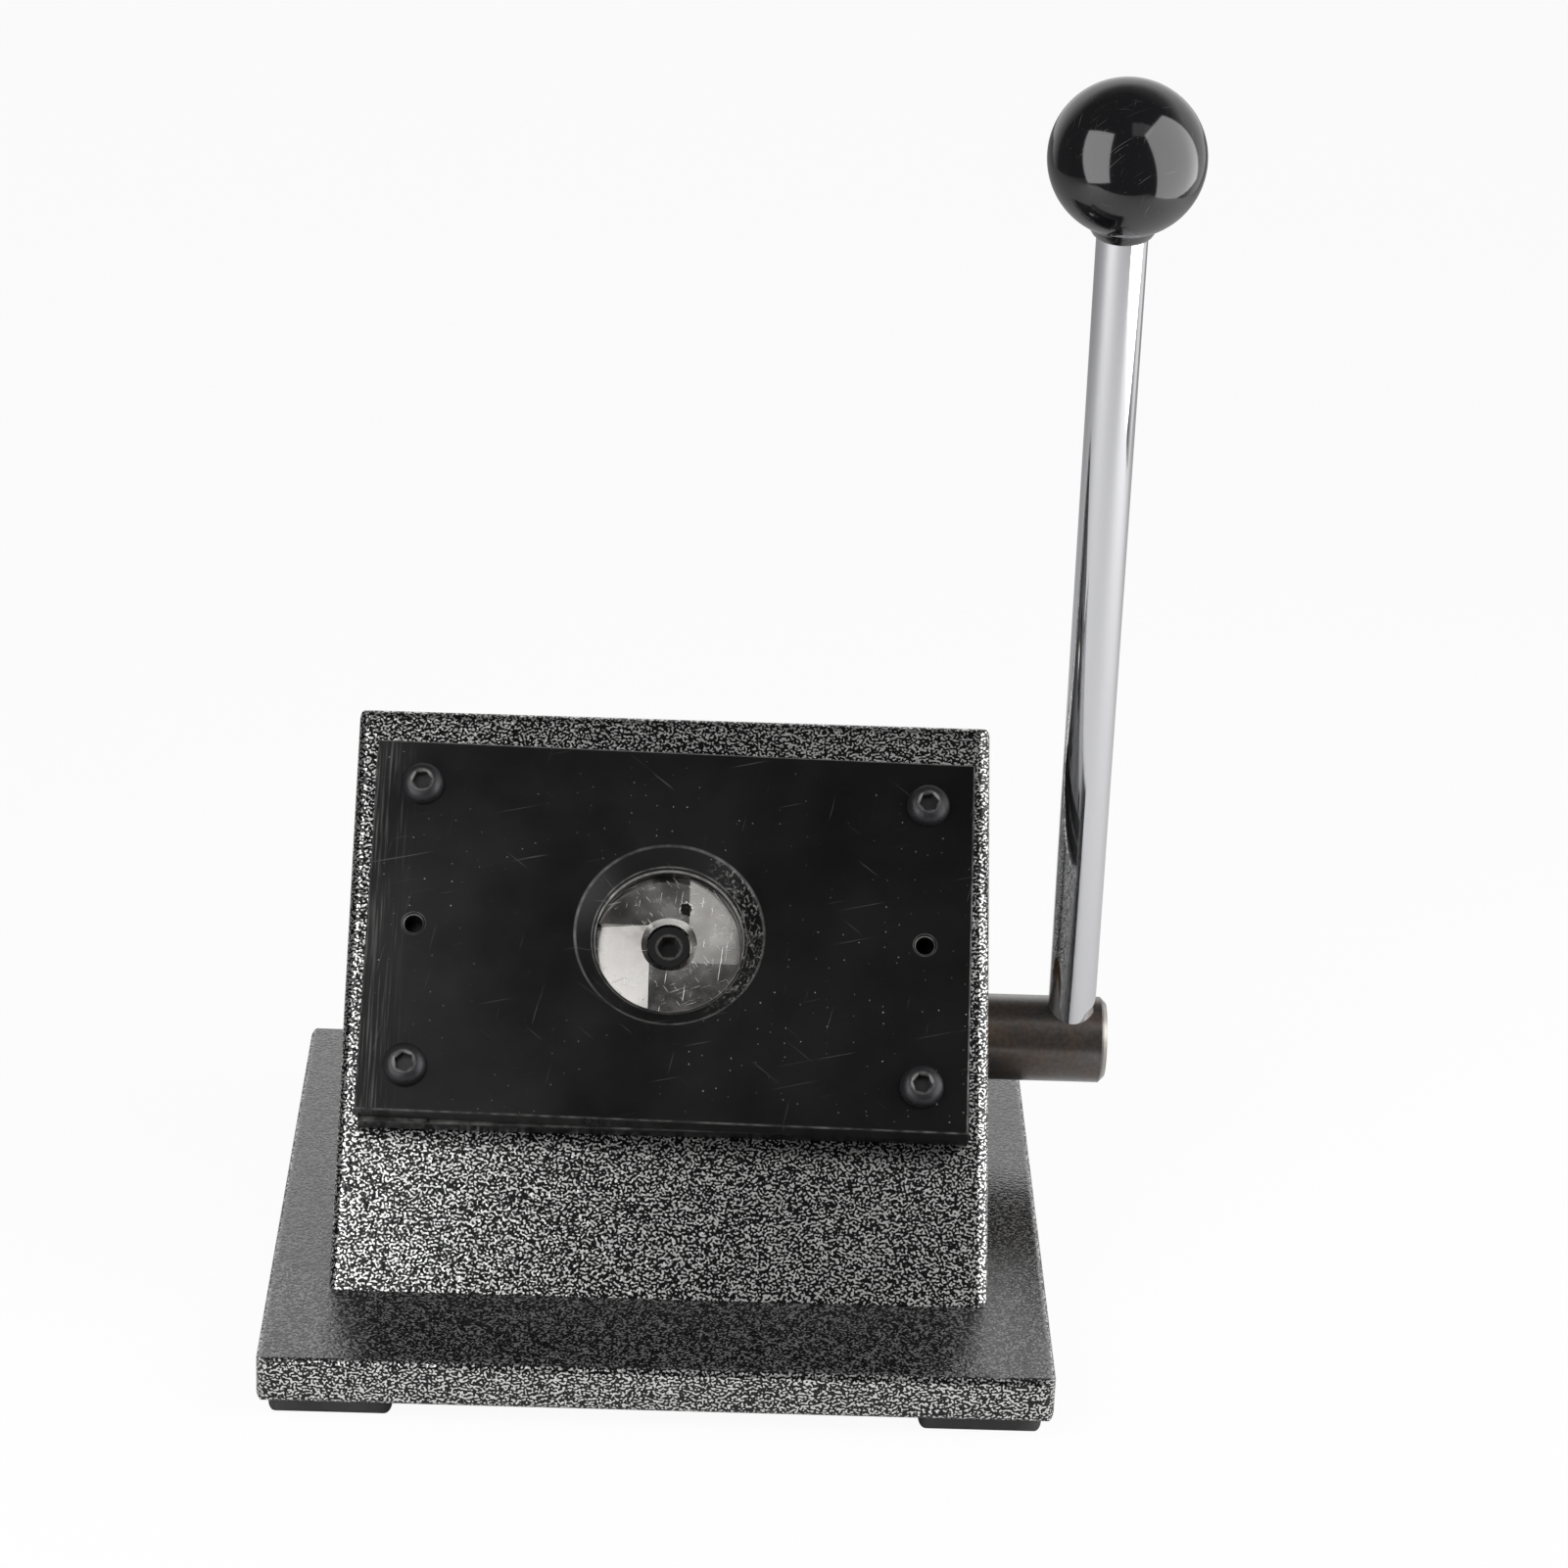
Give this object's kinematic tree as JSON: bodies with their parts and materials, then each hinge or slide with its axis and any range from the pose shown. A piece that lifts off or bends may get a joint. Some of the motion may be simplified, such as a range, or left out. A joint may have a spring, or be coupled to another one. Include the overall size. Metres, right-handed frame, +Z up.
{
  "type": "badge circle cutter",
  "caption": "Bench circle cutter: a side lever turns an eccentric in a sloped grey housing and drives a four-facet punch through a slotted die plate to cut round badge blanks.",
  "frame": {"origin": "on the bench, under the middle of the overall box: the feet stand on Z = 0", "axes": "+Z up, along the resting lever; the sloped face with the die looks towards -Y and up; +X towards the side where the lever stands"},
  "size_m": [0.2014, 0.168, 0.295],
  "materials": {
    "hammered_paint": "hammered grey enamel, semi-gloss",
    "blackened_plate": "satin black oxide",
    "blackened_screw": "oiled black oxide",
    "ground_steel": "surface ground",
    "turned_steel": "turned and oiled, dark",
    "bright_steel": "machined",
    "plated_screw": "zinc plated",
    "chromed_rod": "polished chrome plate",
    "bearing_bronze": "machined",
    "insert_brass": "machined",
    "knob_black": "polished phenolic",
    "foot_rubber": "moulded, matt"
  },
  "bodies": {
    "stand": {"base_plate": "hammered_paint", "feet": "foot_rubber", "foot_screws": "plated_screw", "housing": "hammered_paint", "housing_screws": "plated_screw", "guide_plate": "blackened_plate", "slot_shims": "bright_steel", "die_plate": "blackened_plate", "die_plate_screws": "blackened_screw", "guide_sleeve": "bearing_bronze", "sleeve_screws": "blackened_screw", "right_bush": "bearing_bronze", "left_bush": "bearing_bronze", "right_thrust_washer": "bearing_bronze", "left_thrust_washer": "bearing_bronze", "stop_pin": "bright_steel"},
    "lever": {"lever_shaft": "turned_steel", "eccentric": "bright_steel", "eccentric_pin": "bright_steel", "stop_collar": "bright_steel", "stop_collar_screw": "blackened_screw", "retaining_collar": "bright_steel", "retaining_collar_screw": "blackened_screw", "lever_rod": "chromed_rod", "rod_set_screw": "blackened_screw", "ball_knob": "knob_black", "knob_insert": "insert_brass"},
    "punch_ram": {"punch": "ground_steel", "punch_screw": "blackened_screw", "ram": "bright_steel"}
  },
  "joints": [
    {"name": "lever_swing", "type": "hinge", "parent": "stand", "child": "lever", "pos_m": [-0.01073, 0.03705, 0.041], "axis": [1, 0, 0], "range_deg": [0, 75]},
    {"name": "punch_slide", "type": "slide", "parent": "stand", "child": "punch_ram", "axis": [0, -0.7071, 0.7071], "range_m": [0, 0.0049]}
  ],
  "couplings": [
    {"joint": "punch_slide", "follows": "lever_swing", "m_per_rad": 0.0037205}
  ]
}
